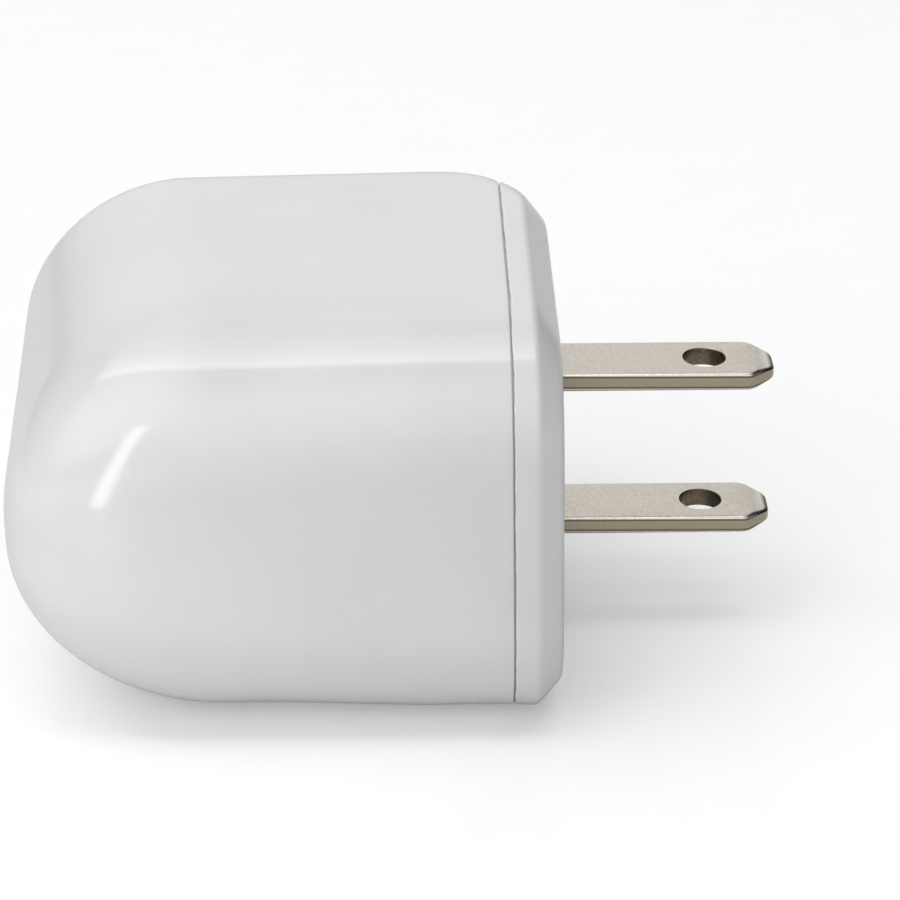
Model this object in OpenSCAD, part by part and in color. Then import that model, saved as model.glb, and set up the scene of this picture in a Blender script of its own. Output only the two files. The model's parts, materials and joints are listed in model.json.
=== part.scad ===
// USB wall charger with two fixed flat blades.
// Origin: centre of the flat wall face, midway between the blades.
// +X runs along the blades towards the outlet, +Z from the lower blade to the upper one.

/* [Body] */
// Length from the wall face to the USB end
body_length = 42; // [40:0.5:46]
// Width along Y, the way the blades are wide
body_width = 38; // [37:0.5:42]
// Height along Z, the way the blades are spaced
body_height = 34.2; // [33.5:0.1:38]
// Thickness of the plastic walls
wall = 2; // [1.6:0.1:2.2]
// Corner radius of the widest section on the +Y side
corner_radius_far = 5.8; // [5:0.1:9]
// Corner radius of the widest section on the -Y side
corner_radius_near = 9.2; // [7:0.1:10]

/* [Rear cover] */
// Distance from the wall face to the seam
seam_offset = 3.8; // [3.6:0.1:4.4]
// Distance from the wall face to the start of the bevel
bevel_length = 1.9; // [1.6:0.1:2.2]
// How far the bevel takes the +Y side in
bevel_inset_far = 1.8; // [1.5:0.1:2.4]
// How far the bevel takes the -Y side in
bevel_inset_near = 1.1; // [1:0.1:2.4]
// How far the bevel takes the top and bottom in
bevel_inset_height = 2.8; // [2:0.1:3]
// Width of the seam groove
seam_gap = 0.25; // [0.2:0.05:0.4]

/* [Blades] */
// Distance between the blade centres
blade_spacing = 12.7; // [12.7]
// Width of each blade
blade_width = 6.3; // [6.1:0.1:6.6]
// Thickness of each blade
blade_thickness = 1.5; // [1.4:0.05:1.65]
// Length of each blade outside the wall face
blade_length = 17.3; // [15.9:0.1:18.3]
// Distance from the wall face to the hole centre
blade_hole_x = 11.9; // [11.5:0.1:12.2]
// Diameter of the hole in each blade
blade_hole_d = 3.3; // [3:0.1:3.6]

/* [USB port] */
// Width of the opening in the metal shell, along Z
port_width = 12.5; // [12.5]
// Height of the opening in the metal shell, along Y
port_height = 5.12; // [5.12]
// Thickness of the metal shell
port_metal = 0.3; // [0.3]
// Length of the metal shell
port_length = 13.8; // [12:0.1:14.5]

/* [Circuit board] */
// Thickness of the board
board_thickness = 1.2; // [1:0.1:1.6]
// Width of the board along Z
board_width = 27; // [26:0.5:28]

/* [Hidden] */
$fn = 48;

sliver = 0.05;
half_width = body_width / 2;
half_height = body_height / 2;
// the seam and the bevel's start, as places along X
seam_x = -seam_offset;
bevel_x = -bevel_length;
// the sides lean in from lean_x to the bevel, ever more steeply and most on the +Y side
lean_x = -10.4;
lean_power = 3.1;
rim_inset_far = 0.64;
rim_inset_near = 0.02;
rim_radius_far = 11;
rim_radius_near = 9;
wall_radius_far = 8.2;
wall_radius_near = 6.9;
// the rounded USB end: each side's rounding as [length along X, depth across, power of its curve]
side_far = [12.9, 11.4, 1.93];
side_near = [19.6, 7.2, 2.76];
height_far = [13.2, 9.9, 1.95];
height_near = [15.4, 15, 2];
end_radius_far = 6;
end_radius_near = 11.9;
least_radius = 0.4;
// places of the housing's cross-sections: distances from the USB face, then distances from the wall face
end_stations = [0, 0.1, 0.35, 0.8, 1.5, 2.4, 3.6, 5.1, 7, 9, 11, 13.2, 15.4, 19.6];
lean_stations = [10.4, 7, 5.7, 4.7];
rim_stations = [3.2, 2.5];

port_recess = 1;
port_mouth_x = -body_length + port_recess;
port_outer_w = port_width + 2 * port_metal;
port_outer_h = port_height + 2 * port_metal;
port_slot_play = 0.15;
tongue_setback = 1.7;
insulator_base = 4.2;
insulator_x = port_mouth_x + port_length - insulator_base;
tongue_thickness = 1.84;
tongue_width = 11.1;
tongue_y = 0.85;

board_y = -port_outer_h / 2;
board_under_y = board_y - board_thickness;
board_back_x = -10.2;
board_front_x = -34;
board_nose_x = -38;
board_nose_w = 14.6;
board_corner_x = 3;
board_corner_z = 4;
rail_front_x = -30;
rail_back_x = -12;
rail_height = 1.2;
rail_grip = 0.7;
post_z = 10.6;
post_half = 1.2;

blade_z = blade_spacing / 2;
tail_end_x = -12.2;
tail_width = 4;
tail_start_x = -6.2;
holder_back_x = -7.2;
holder_half_y = 5;
holder_half_z = 9.2;
lip_length = 4;
lip_thickness = 1.2;

transformer_x = -19.6;
transformer_y = board_y + 8;
transformer_half_y = 5.8;
transformer_half_z = 6.5;
core_half_x = 2.6;
core_leg = 2.6;
core_side = 1.8;
core_post_z = 1.7;
bobbin_half_x = 6;
bobbin_wall = 0.8;
capacitor_r = 4;
input_cap_h = 12;
output_cap_r = 3.15;
output_cap_h = 11;
lead_r = 0.3;
lead_stand = 0.6;
lead_tail = 1;
input_cap_1 = [-15.4, 10.7];
input_cap_2 = [-23.6, 10.7];
output_cap = [-27.6, -10.4];
choke_place = [-13.8, -10.6];
y_cap_place = [-20.6, -10.7];
lead_pitch = 3.5;
output_lead_pitch = 2.5;

// ---- shared shapes ----

// Cross-section with its own corner radius on the +Y (far) and -Y (near) sides.
// The shape lies in XY, with x across (Y of the part) and y up (Z of the part).
module section(far, near, high, r_far, r_near) {
    for (side = [-1, 1]) {
        translate([far - r_far, side * (high - r_far)])
            circle(r_far);
        translate([-near + r_near, side * (high - r_near)])
            circle(r_near);
    }
    polygon([
        [far - r_far, high], [far, high - r_far], [far, r_far - high], [far - r_far, -high],
        [r_near - near, -high], [-near, r_near - high], [-near, high - r_near], [r_near - near, high]
    ]);
}

// Stands a flat shape across the body at x, with a thickness towards +X.
module across(x, thick) {
    translate([x, 0, 0])
        rotate([90, 0, 90])
            linear_extrude(thick)
                children();
}

// A box given by its two opposite corners.
module span(low, high) {
    translate(low)
        cube(high - low);
}

// How far a side has drawn in at a distance from the USB face.
function drawn_in(distance, curve) =
    distance >= curve[0] ? 0
    : curve[1] * (1 - pow(1 - pow(1 - distance / curve[0], curve[2]), 1 / curve[2]));

// The same rounding for a form moved in by a distance.
function moved_in(curve, inset) = [curve[0] - inset, curve[1] - inset, curve[2]];

// How far the lean has gone at x: 0 up to lean_x, 1 at the bevel.
function lean_at(x) = pow(max(0, (x - lean_x) / (bevel_x - lean_x)), lean_power);

// A corner's radius: it changes along the sides, shrinks to the USB face and changes again to the bevel.
function corner_at(x, distance, curve, sides_radius, end_radius, rim_radius) =
    let (
        t = min(1, max(0, (lean_x - x) / (lean_x - x + distance - curve[0]))),
        plain = (sides_radius + (end_radius - sides_radius) * t) * (1 - drawn_in(distance, curve) / curve[1])
    )
    max(least_radius, plain + (rim_radius - plain) * lean_at(x));

// The section at the seam, moved in by a distance all round.
module seam_section(inset) {
    lean = lean_at(seam_x);
    section(half_width - rim_inset_far * lean - inset, half_width - rim_inset_near * lean - inset,
        half_height - inset,
        corner_radius_far + (rim_radius_far - corner_radius_far) * lean - inset,
        corner_radius_near + (rim_radius_near - corner_radius_near) * lean - inset);
}

// One corner circle of a cross-section, on both sides of the middle plane. x is across and y up.
module corner_pair(place, high, r) {
    for (side = [-1, 1])
        translate([place, side * (high - r)])
            circle(r);
}

// The case's cross-section at x, moved in by a distance, as a thin slice.
module housing_slice(x, inset) {
    distance = x + body_length - inset;
    lean = lean_at(x);
    s_far = moved_in(side_far, inset);
    s_near = moved_in(side_near, inset);
    far = half_width - inset - drawn_in(distance, s_far) - rim_inset_far * lean;
    near = half_width - inset - drawn_in(distance, s_near) - rim_inset_near * lean;
    high = half_height - inset;
    r_far = corner_at(x, distance, s_far, corner_radius_far - inset, end_radius_far - inset,
        rim_radius_far - inset);
    r_near = corner_at(x, distance, s_near, corner_radius_near - inset, end_radius_near - inset,
        rim_radius_near - inset);
    across(x, sliver) {
        corner_pair(far - r_far, high - drawn_in(distance, moved_in(height_far, inset)), r_far);
        corner_pair(r_near - near, high - drawn_in(distance, moved_in(height_near, inset)), r_near);
    }
}

// The housing's outer form, or its cavity when inset by the wall.
module housing_form(inset) {
    hull() {
        for (d = end_stations)
            housing_slice(d - body_length + inset, inset);
        for (d = lean_stations)
            housing_slice(-d, inset);
        across(seam_x - sliver, sliver)
            seam_section(inset);
    }
}

// Two leads of an upright part, from its base through the board.
module lead_pair(place, pitch, r) {
    for (side = [-1, 1])
        translate([place[0], board_under_y - lead_tail, place[1] + side * pitch / 2])
            rotate([-90, 0, 0])
                cylinder(r = r, h = board_thickness + lead_tail + lead_stand);
}

// A flat package under the board, with its centre at place [x, z].
module package(place, size) {
    span([place[0] - size[0] / 2, board_under_y - size[1], place[1] - size[2] / 2],
        [place[0] + size[0] / 2, board_under_y, place[1] + size[2] / 2]);
}

// ---- case ----

module front_housing() {
    slot_half_y = port_outer_h / 2 + port_slot_play;
    slot_half_z = port_outer_w / 2 + port_slot_play;
    color("white") {
        difference() {
            housing_form(0);
            housing_form(wall);
            // the open back
            across(seam_x - wall / 2, wall)
                seam_section(wall);
            // the slot for the USB shell
            span([-body_length - 1, -slot_half_y, -slot_half_z],
                [-body_length + wall + 1, slot_half_y, slot_half_z]);
        }
        // rails under the board's edges
        for (side = [0, 1])
            mirror([0, 0, side])
                span([rail_front_x, board_under_y - rail_height, board_width / 2 - rail_grip],
                    [rail_back_x, board_under_y, half_height - wall + 0.3]);
    }
}

module rear_cover() {
    lip_x = seam_x - lip_length;
    lip_play = 0.4;
    groove_depth = 0.7;
    color("white") {
        difference() {
            union() {
                // rim and bevel
                hull() {
                    housing_slice(seam_x + seam_gap, 0);
                    for (d = rim_stations)
                        housing_slice(-d, 0);
                    housing_slice(bevel_x, 0);
                    across(-sliver, sliver)
                        section(half_width - rim_inset_far - bevel_inset_far,
                            half_width - rim_inset_near - bevel_inset_near,
                            half_height - bevel_inset_height,
                            wall_radius_far, wall_radius_near);
                }
                // the floor of the seam groove
                across(seam_x, seam_gap)
                    seam_section(groove_depth);
                // the lip inside the housing
                across(lip_x, lip_length)
                    seam_section(wall + lip_play);
            }
            // hollow behind the wall face
            across(lip_x - 1, lip_length + 1 + seam_offset - wall)
                seam_section(wall + lip_play + lip_thickness);
            // a slot for each blade
            for (side = [-1, 1])
                span([-wall - 1, -blade_width / 2, side * blade_z - blade_thickness / 2],
                    [1, blade_width / 2, side * blade_z + blade_thickness / 2]);
        }
        // posts that stop the board
        for (side = [-1, 1])
            span([board_back_x, board_under_y, side * post_z - post_half],
                [-wall, board_y, side * post_z + post_half]);
    }
}

// ---- blades ----

module blade(side) {
    tip = 1.9;
    half = blade_width / 2;
    tip_half = half - 1.7;
    coin = 1.4;
    coin_depth = 0.45;
    half_thick = blade_thickness / 2;
    color("silver")
        translate([0, 0, side * blade_z])
            difference() {
                intersection() {
                    // outline from the wide side
                    translate([0, 0, -half_thick])
                        linear_extrude(blade_thickness)
                            polygon([
                                [tail_end_x, -tail_width / 2], [tail_start_x, -tail_width / 2],
                                [tail_start_x, -half], [blade_length - tip, -half],
                                [blade_length, -tip_half], [blade_length, tip_half],
                                [blade_length - tip, half], [tail_start_x, half],
                                [tail_start_x, tail_width / 2], [tail_end_x, tail_width / 2]
                            ]);
                    // outline from the narrow side, with a coined tip
                    translate([0, half, 0])
                        rotate([90, 0, 0])
                            linear_extrude(blade_width)
                                polygon([
                                    [tail_end_x, -half_thick], [blade_length - coin, -half_thick],
                                    [blade_length, coin_depth - half_thick], [blade_length, half_thick - coin_depth],
                                    [blade_length - coin, half_thick], [tail_end_x, half_thick]
                                ]);
                }
                translate([blade_hole_x, 0, -1])
                    cylinder(d = blade_hole_d, h = 2);
            }
}

module line_blade() {
    blade(1);
}

module neutral_blade() {
    blade(-1);
}

// The moulded block that both blades are set in.
module blade_holder() {
    color("ivory")
        difference() {
            span([holder_back_x, -holder_half_y, -holder_half_z], [-wall, holder_half_y, holder_half_z]);
            for (side = [-1, 1]) {
                span([tail_start_x, -blade_width / 2, side * blade_z - blade_thickness / 2],
                    [-wall + 1, blade_width / 2, side * blade_z + blade_thickness / 2]);
                span([holder_back_x - 1, -tail_width / 2, side * blade_z - blade_thickness / 2],
                    [tail_start_x, tail_width / 2, side * blade_z + blade_thickness / 2]);
            }
        }
}

// A spring clip on the board that grips one blade's tail.
module clip(side) {
    metal = 0.4;
    clip_length = 1.9;
    leaf = blade_thickness / 2;
    color("gold")
        translate([tail_end_x, 0, side * blade_z]) {
            span([0, board_y, -leaf - metal], [clip_length, board_y + metal, leaf + metal]);
            for (face = [0, 1])
                mirror([0, 0, face])
                    span([0, board_y + metal, leaf], [clip_length, tail_width / 2, leaf + metal]);
        }
}

module line_clip() {
    clip(1);
}

module neutral_clip() {
    clip(-1);
}

// ---- circuit board ----

module main_board() {
    half = board_width / 2;
    shoulder = half - board_corner_z;
    neck = board_nose_w / 2;
    color("darkgreen")
        difference() {
            translate([0, board_y, 0])
                rotate([90, 0, 0])
                    linear_extrude(board_thickness)
                        polygon([
                            [board_back_x, -half], [board_back_x, half], [board_front_x + board_corner_x, half],
                            [board_front_x, shoulder], [board_front_x, neck], [board_nose_x, neck],
                            [board_nose_x, -neck], [board_front_x, -neck], [board_front_x, -shoulder],
                            [board_front_x + board_corner_x, -half]
                        ]);
            capacitor_leads();
            transformer_pins();
        }
}

// ---- USB port ----

module usb_shell() {
    color("silver")
        translate([port_mouth_x, 0, 0])
            difference() {
                span([0, -port_outer_h / 2, -port_outer_w / 2], [port_length, port_outer_h / 2, port_outer_w / 2]);
                span([-1, -port_height / 2, -port_width / 2],
                    [port_length + 1, port_height / 2, port_width / 2]);
            }
}

module usb_insulator() {
    color("black") {
        span([insulator_x, -port_height / 2, -port_width / 2],
            [insulator_x + insulator_base, port_height / 2, port_width / 2]);
        difference() {
            span([port_mouth_x + tongue_setback, tongue_y - tongue_thickness / 2, -tongue_width / 2],
                [insulator_x + 0.2, tongue_y + tongue_thickness / 2, tongue_width / 2]);
            usb_contacts();
        }
    }
}

// Four contact strips let into the tongue's lower face.
module usb_contacts() {
    low = tongue_y - tongue_thickness / 2;
    strip = 0.3;
    proud = 0.1;
    half = 0.6;
    color("gold")
        for (place = [-3.5, -1, 1, 3.5])
            span([port_mouth_x + tongue_setback + 1, low - proud, place - half],
                [insulator_x, low + strip, place + half]);
}

// ---- transformer ----

// Moves the parts wound round the core to the transformer's place.
module at_transformer() {
    translate([transformer_x, transformer_y, 0])
        children();
}

module transformer_core() {
    window_y = transformer_half_y - core_leg;
    color("dimgray")
        at_transformer()
            difference() {
                span([-core_half_x, -transformer_half_y, -transformer_half_z],
                    [core_half_x, transformer_half_y, transformer_half_z]);
                for (side = [0, 1])
                    mirror([0, 0, side])
                        span([-core_half_x - 1, -window_y, core_post_z],
                            [core_half_x + 1, window_y, transformer_half_z - core_side]);
            }
}

module transformer_bobbin() {
    inner = transformer_half_y - core_leg;
    outer_z = transformer_half_z - core_side;
    color("black")
        at_transformer() {
            difference() {
                union() {
                    for (side = [0, 1])
                        mirror([0, side, 0])
                            span([-bobbin_half_x, inner - bobbin_wall, -outer_z], [bobbin_half_x, inner, outer_z]);
                    span([-core_half_x - bobbin_wall, -inner, -core_post_z - bobbin_wall],
                        [core_half_x + bobbin_wall, inner, core_post_z + bobbin_wall]);
                }
                span([-core_half_x, -inner - 1, -core_post_z], [core_half_x, inner + 1, core_post_z]);
            }
            // feet that stand on the board on both sides of the core
            for (side = [0, 1])
                mirror([side, 0, 0])
                    span([core_half_x + 0.2, board_y - transformer_y, -outer_z], [bobbin_half_x, -inner, outer_z]);
        }
}

module transformer_winding() {
    inner = transformer_half_y - core_leg - bobbin_wall;
    hole_x = core_half_x + bobbin_wall;
    hole_z = core_post_z + bobbin_wall;
    build_up = 2;
    color("orange")
        at_transformer()
            difference() {
                span([-hole_x - build_up, -inner, -hole_z - build_up + 0.1],
                    [hole_x + build_up, inner, hole_z + build_up - 0.1]);
                span([-hole_x, -inner - 1, -hole_z], [hole_x, inner + 1, hole_z]);
            }
}

// Yellow tape round the outside of the core.
module transformer_tape() {
    thick = 0.15;
    half = 2.2;
    color("gold")
        at_transformer()
            difference() {
                span([-half, -transformer_half_y - thick, -transformer_half_z - thick],
                    [half, transformer_half_y + thick, transformer_half_z + thick]);
                span([-half - 1, -transformer_half_y, -transformer_half_z],
                    [half + 1, transformer_half_y, transformer_half_z]);
            }
}

module transformer_pins() {
    color("silver")
        for (side = [-1, 1], place = [-3, 0, 3])
            translate([transformer_x + side * (bobbin_half_x - 1), board_under_y - lead_tail, place])
                rotate([-90, 0, 0])
                    cylinder(r = lead_r, h = board_thickness + lead_tail);
}

// ---- capacitors and choke ----

module electrolytic(place, r, height) {
    groove = 0.25;
    translate([place[0], board_y + lead_stand, place[1]])
        rotate([-90, 0, 0])
            rotate_extrude()
                polygon([
                    [0, 0], [r, 0], [r, 1.2], [r - groove, 1.5], [r - groove, 1.9], [r, 2.2],
                    [r, height - 0.4], [r - 0.4, height], [0, height]
                ]);
}

module input_capacitor_1() {
    color("black")
        electrolytic(input_cap_1, capacitor_r, input_cap_h);
}

module input_capacitor_2() {
    color("black")
        electrolytic(input_cap_2, capacitor_r, input_cap_h);
}

module output_capacitor() {
    color("purple")
        electrolytic(output_cap, output_cap_r, output_cap_h);
}

module capacitor_leads() {
    color("silver") {
        lead_pair(input_cap_1, lead_pitch, lead_r);
        lead_pair(input_cap_2, lead_pitch, lead_r);
        lead_pair(output_cap, output_lead_pitch, lead_r);
        lead_pair(choke_place, output_lead_pitch, lead_r);
        lead_pair(y_cap_place, output_lead_pitch, lead_r);
    }
}

module choke_core() {
    color("dimgray")
        translate([choke_place[0], board_y + lead_stand, choke_place[1]])
            rotate([-90, 0, 0])
                rotate_extrude()
                    polygon([
                        [0, 0], [3, 0], [3, 1], [1.4, 1], [1.4, 6], [3, 6], [3, 7], [0, 7]
                    ]);
}

module choke_winding() {
    color("chocolate")
        translate([choke_place[0], board_y + lead_stand + 1, choke_place[1]])
            rotate([-90, 0, 0])
                difference() {
                    cylinder(r = 2.6, h = 5);
                    translate([0, 0, -1])
                        cylinder(r = 1.4, h = 7);
                }
}

// A ceramic disc across the safety gap.
module y_capacitor() {
    disc_r = 3.7;
    disc_t = 3.4;
    color("steelblue")
        translate([y_cap_place[0] - disc_t / 2, board_y + lead_stand + disc_r, y_cap_place[1]])
            rotate([0, 90, 0])
                rotate_extrude()
                    polygon([
                        [0, 0], [disc_r - 0.7, 0], [disc_r, 0.7], [disc_r, disc_t - 0.7], [disc_r - 0.7, disc_t],
                        [0, disc_t]
                    ]);
}

// ---- parts under the board ----

module fusible_resistor() {
    body_r = 1.6;
    body_l = 8;
    color("seagreen")
        translate([-30.6, board_under_y - body_r, -body_l / 2])
            rotate_extrude()
                polygon([
                    [0, 0], [body_r - 0.3, 0], [body_r, 0.4], [body_r, 1.6], [body_r - 0.2, 2], [body_r - 0.2, 6],
                    [body_r, 6.4], [body_r, 7.6], [body_r - 0.3, body_l], [0, body_l]
                ]);
}

module bridge_rectifier() {
    color("black")
        package([-19.6, -4.6], [6.4, 2.6, 8]);
}

module controller_chip() {
    color("black")
        package([-19.6, 3.4], [4.9, 1.6, 3.9]);
}

module output_diode() {
    color("black")
        package([-26.7, -6.2], [4.4, 2.2, 5]);
}

module optocoupler() {
    color("black")
        package([-28.4, 7.7], [4.6, 2.2, 6.4]);
}

module chip_resistors() {
    color("black")
        for (column = [0 : 5])
            package([-12 - 1.9 * column, 7.2], [0.85, 0.5, 1.6]);
}

module chip_capacitors() {
    color("tan")
        for (place = [-24.8, -23, -18.4, -16.6])
            package([place, -10.6], [1.25, 0.9, 2]);
}

// A thin sheet that keeps the solder side away from the housing, held on the rails.
module insulation_sheet() {
    sheet_top = board_under_y - rail_height;
    sheet_y = sheet_top - 3;
    sheet_half = board_width / 2 - 0.4;
    thick = 0.4;
    color("white")
        difference() {
            span([rail_front_x + 1, sheet_y - thick, -sheet_half], [rail_back_x + 1, sheet_top, sheet_half]);
            span([rail_front_x, sheet_y, thick - sheet_half], [rail_back_x + 2, 0, sheet_half - thick]);
        }
}

front_housing();
rear_cover();
line_blade();
neutral_blade();
blade_holder();
line_clip();
neutral_clip();
main_board();
usb_shell();
usb_insulator();
usb_contacts();
transformer_core();
transformer_bobbin();
transformer_winding();
transformer_tape();
transformer_pins();
input_capacitor_1();
input_capacitor_2();
output_capacitor();
capacitor_leads();
choke_core();
choke_winding();
y_capacitor();
fusible_resistor();
bridge_rectifier();
controller_chip();
output_diode();
optocoupler();
chip_resistors();
chip_capacitors();
insulation_sheet();
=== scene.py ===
"""Looks of a usb wall charger: a gloss white case, two nickel-plated blades, a USB port and the parts inside.

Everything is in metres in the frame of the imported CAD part: the origin is the centre of the wall face, +X
runs along the blades and +Z from the lower blade to the upper one. Where two values are given for the two
sides of the case, the far side (+Y) comes first and the near side (-Y) second.
"""

import json
import math

import bmesh
import bpy
from mathutils import Matrix, Quaternion, Vector, noise


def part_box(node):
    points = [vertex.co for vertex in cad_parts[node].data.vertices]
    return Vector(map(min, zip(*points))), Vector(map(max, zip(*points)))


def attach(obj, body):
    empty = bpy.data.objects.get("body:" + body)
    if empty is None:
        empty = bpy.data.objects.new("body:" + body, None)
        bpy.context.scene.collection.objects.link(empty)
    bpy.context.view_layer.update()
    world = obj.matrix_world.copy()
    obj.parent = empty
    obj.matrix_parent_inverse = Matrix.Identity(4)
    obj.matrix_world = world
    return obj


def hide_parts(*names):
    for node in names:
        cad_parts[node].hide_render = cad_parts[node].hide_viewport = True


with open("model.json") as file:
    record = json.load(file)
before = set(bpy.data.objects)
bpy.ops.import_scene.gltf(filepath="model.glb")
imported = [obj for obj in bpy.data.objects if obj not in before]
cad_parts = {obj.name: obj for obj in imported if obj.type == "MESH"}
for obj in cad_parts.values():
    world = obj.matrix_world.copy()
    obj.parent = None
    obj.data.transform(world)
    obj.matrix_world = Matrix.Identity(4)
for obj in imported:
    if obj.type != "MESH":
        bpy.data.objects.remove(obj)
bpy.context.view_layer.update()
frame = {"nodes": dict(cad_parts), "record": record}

MM = 0.001
BODY = "root"
RIGHT_ANGLE = math.pi / 2

# ---- places taken from the frame ---------------------------------------------------------------------------

HOUSING_LOW, HOUSING_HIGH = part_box("front_housing")
COVER_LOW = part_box("rear_cover")[0]
BLADE_LOW, BLADE_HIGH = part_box("line_blade")
SHELL_LOW, SHELL_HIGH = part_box("usb_shell")
HOLE_X = next(mount["pos_m"][0] for mount in frame["record"]["mounts"] if mount["name"] == "line_blade_hole")

FRONT_X = HOUSING_LOW.x
SEAM_X = HOUSING_HIGH.x
HALF_Y = HOUSING_HIGH.y
HALF_Z = HOUSING_HIGH.z

BLADE_MIDDLE = (BLADE_HIGH.z + BLADE_LOW.z) / 2
BLADE_HALF_THICK = (BLADE_HIGH.z - BLADE_LOW.z) / 2
# the photographed blades are a little slimmer than standard ones, and hang by this share of their length
BLADE_HALF_WIDTH = 0.943 * BLADE_HIGH.y
BLADE_DROOP = 0.021
HOLE_RADIUS = 1.65 * MM

# ---- the case's form ---------------------------------------------------------------------------------------

WALL = 2 * MM
SEAM_GAP = 0.25 * MM
GROOVE_DEPTH = 0.38 * MM
# from here to the rim, the sides lean in slowly at first
LEAN_START_X = -10.4 * MM
LEAN_POWER = 3.1
BEVEL_X = -1.9 * MM
# corner radii at the sides, the rim, the wall face and the USB end
SIDE_RADII = 5.8 * MM, 9.7 * MM
RIM_RADII = 11.0 * MM, 9.2 * MM
WALL_RADII = 8.2 * MM, 6.9 * MM
END_RADII = 6 * MM, 11.1 * MM
LEAST_RADIUS = 0.4 * MM
# how far the rim lies inside the sides, and the wall face inside the rim (far, near, above and below)
RIM_INSETS = 0.64 * MM, 0.02 * MM
BEVEL_INSETS = 1.84 * MM, 1.05 * MM, 2.8 * MM

# the rounded USB end: each side's rounding as (length along X, depth across, power of its curve)
SIDE_FAR = (12.9 * MM, 11.4 * MM, 1.93)
SIDE_NEAR = (19.4 * MM, 6.4 * MM, 2.9)
HEIGHT_FAR = (13.2 * MM, 9.9 * MM, 1.95)
HEIGHT_NEAR = (16.3 * MM, 15.5 * MM, 2.02)
END_CURVES = SIDE_FAR, SIDE_NEAR, HEIGHT_FAR, HEIGHT_NEAR

# points along the flat top, each corner and each side of a cross-section, and along a small rounded edge
LINE_STEPS = 20
ARC_STEPS = 24
SIDE_STEPS = 16
EDGE_STEPS = 4
# the depth of the search for a point on the USB end, and the halvings of the searches on it and on the slot
END_REACH = 6 * MM
END_HALVINGS = 36
SLOT_HALVINGS = 40


def smooth(t):
    """0 to 1 with flat ends."""
    t = min(1.0, max(0.0, t))
    return t * t * (3 - 2 * t)


def mix(a, b, t):
    return a + (b - a) * t


def mix_points(a, b, t):
    """The points between two rings of points (y, z), at a share t of the way."""
    return [(mix(p[0], q[0], t), mix(p[1], q[1], t)) for p, q in zip(a, b)]


def bend(start, corner, end, t):
    """A point of the soft curve from start to end that is pulled towards the corner."""
    return [p * (1 - t) ** 2 + q * 2 * t * (1 - t) + r * t * t for p, q, r in zip(start, corner, end)]


def quarter_round(radius, steps=EDGE_STEPS):
    """Pairs (left to go across, gone along) round a quarter circle of this radius."""
    pairs = []
    for step in range(steps + 1):
        a = math.radians(90 * step / steps)
        pairs.append((radius * (1 - math.sin(a)), radius * (1 - math.cos(a))))
    return pairs


def drawn_in(distance, curve):
    """How far a side has drawn in at a distance from the USB face."""
    along, across, power = curve
    if distance >= along:
        return 0.0
    reach = min(1.0, max(0.0, 1 - distance / along))
    return across * (1 - max(0.0, 1 - reach ** power) ** (1 / power))


def section_at(x, inset=0.0):
    """(far, near, high at far, high at near, far radius, near radius) of the case's cross-section at x."""
    lean = max(0.0, (min(x, BEVEL_X) - LEAN_START_X) / (BEVEL_X - LEAN_START_X)) ** LEAN_POWER
    distance = x - FRONT_X - inset
    side_far, side_near, height_far, height_near = (
        (along - inset, across - inset, power) for along, across, power in END_CURVES)
    far = HALF_Y - inset - RIM_INSETS[0] * lean - drawn_in(distance, side_far)
    near = HALF_Y - inset - RIM_INSETS[1] * lean - drawn_in(distance, side_near)
    high_far = HALF_Z - inset - drawn_in(distance, height_far)
    high_near = HALF_Z - inset - drawn_in(distance, height_near)
    radii = []
    for side, curve in enumerate((side_far, side_near)):
        t = min(1.0, max(0.0, (LEAN_START_X - x) / (LEAN_START_X - FRONT_X - inset - curve[0])))
        radius = mix(SIDE_RADII[side], END_RADII[side], t) - inset
        radius *= 1 - drawn_in(distance, curve) / curve[1]
        radii.append(max(LEAST_RADIUS, mix(radius, RIM_RADII[side] - inset, lean)))
    return far, near, high_far, high_near, radii[0], radii[1]


def moved_in(section, inset):
    """The cross-section moved in by inset all round."""
    far, near, high_far, high_near, r_far, r_near = section
    return (far - inset, near - inset, high_far - inset, high_near - inset,
            max(LEAST_RADIUS, r_far - inset), max(LEAST_RADIUS, r_near - inset))


def corner_circles(section):
    """The far and near corner circles' centres, and the tilt of the line that touches both."""
    far, near, high_far, high_near, r_far, r_near = section
    far_y, far_z = far - r_far, high_far - r_far
    near_y, near_z = r_near - near, high_near - r_near
    gap = math.hypot(far_y - near_y, far_z - near_z)
    turn = math.asin(max(-1.0, min(1.0, (r_near - r_far) / gap)))
    return far_y, far_z, near_y, near_z, turn - math.atan2(far_z - near_z, far_y - near_y)


def holds(section, y, z):
    """Whether a cross-section holds the point (y, z)."""
    far, near, _, _, r_far, r_near = section
    far_y, far_z, near_y, near_z, tilt = corner_circles(section)
    z = abs(z)
    s, c = math.sin(tilt), math.cos(tilt)
    if y > far or y < -near or (y - far_y) * s + (z - far_z) * c > r_far:
        return False
    if z > far_z and (y - far_y) * c - (z - far_z) * s > 0:
        return math.hypot(y - far_y, z - far_z) <= r_far
    if z > near_z and (y - near_y) * c - (z - near_z) * s < 0:
        return math.hypot(y - near_y, z - near_z) <= r_near
    return True


def end_surface(y, z, inset=0.0):
    """Where, along X, the rounded USB end's surface lies at (y, z)."""
    low, high = FRONT_X + inset, FRONT_X + inset + END_REACH
    if holds(section_at(low, inset), y, z):
        return low
    for _ in range(END_HALVINGS):
        middle = (low + high) / 2
        if holds(section_at(middle, inset), y, z):
            high = middle
        else:
            low = middle
    return high


def line(start, end, steps):
    """Points from start towards end, with the end left out."""
    return [(mix(start[0], end[0], i / steps), mix(start[1], end[1], i / steps)) for i in range(steps)]


def arc(y, z, radius, start, end, side=1):
    """Points round a corner circle from one angle towards another; side -1 mirrors them to below."""
    angles = [mix(start, end, i / ARC_STEPS) for i in range(ARC_STEPS)]
    return [(y + radius * math.sin(a), side * (z + radius * math.cos(a))) for a in angles]


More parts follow.
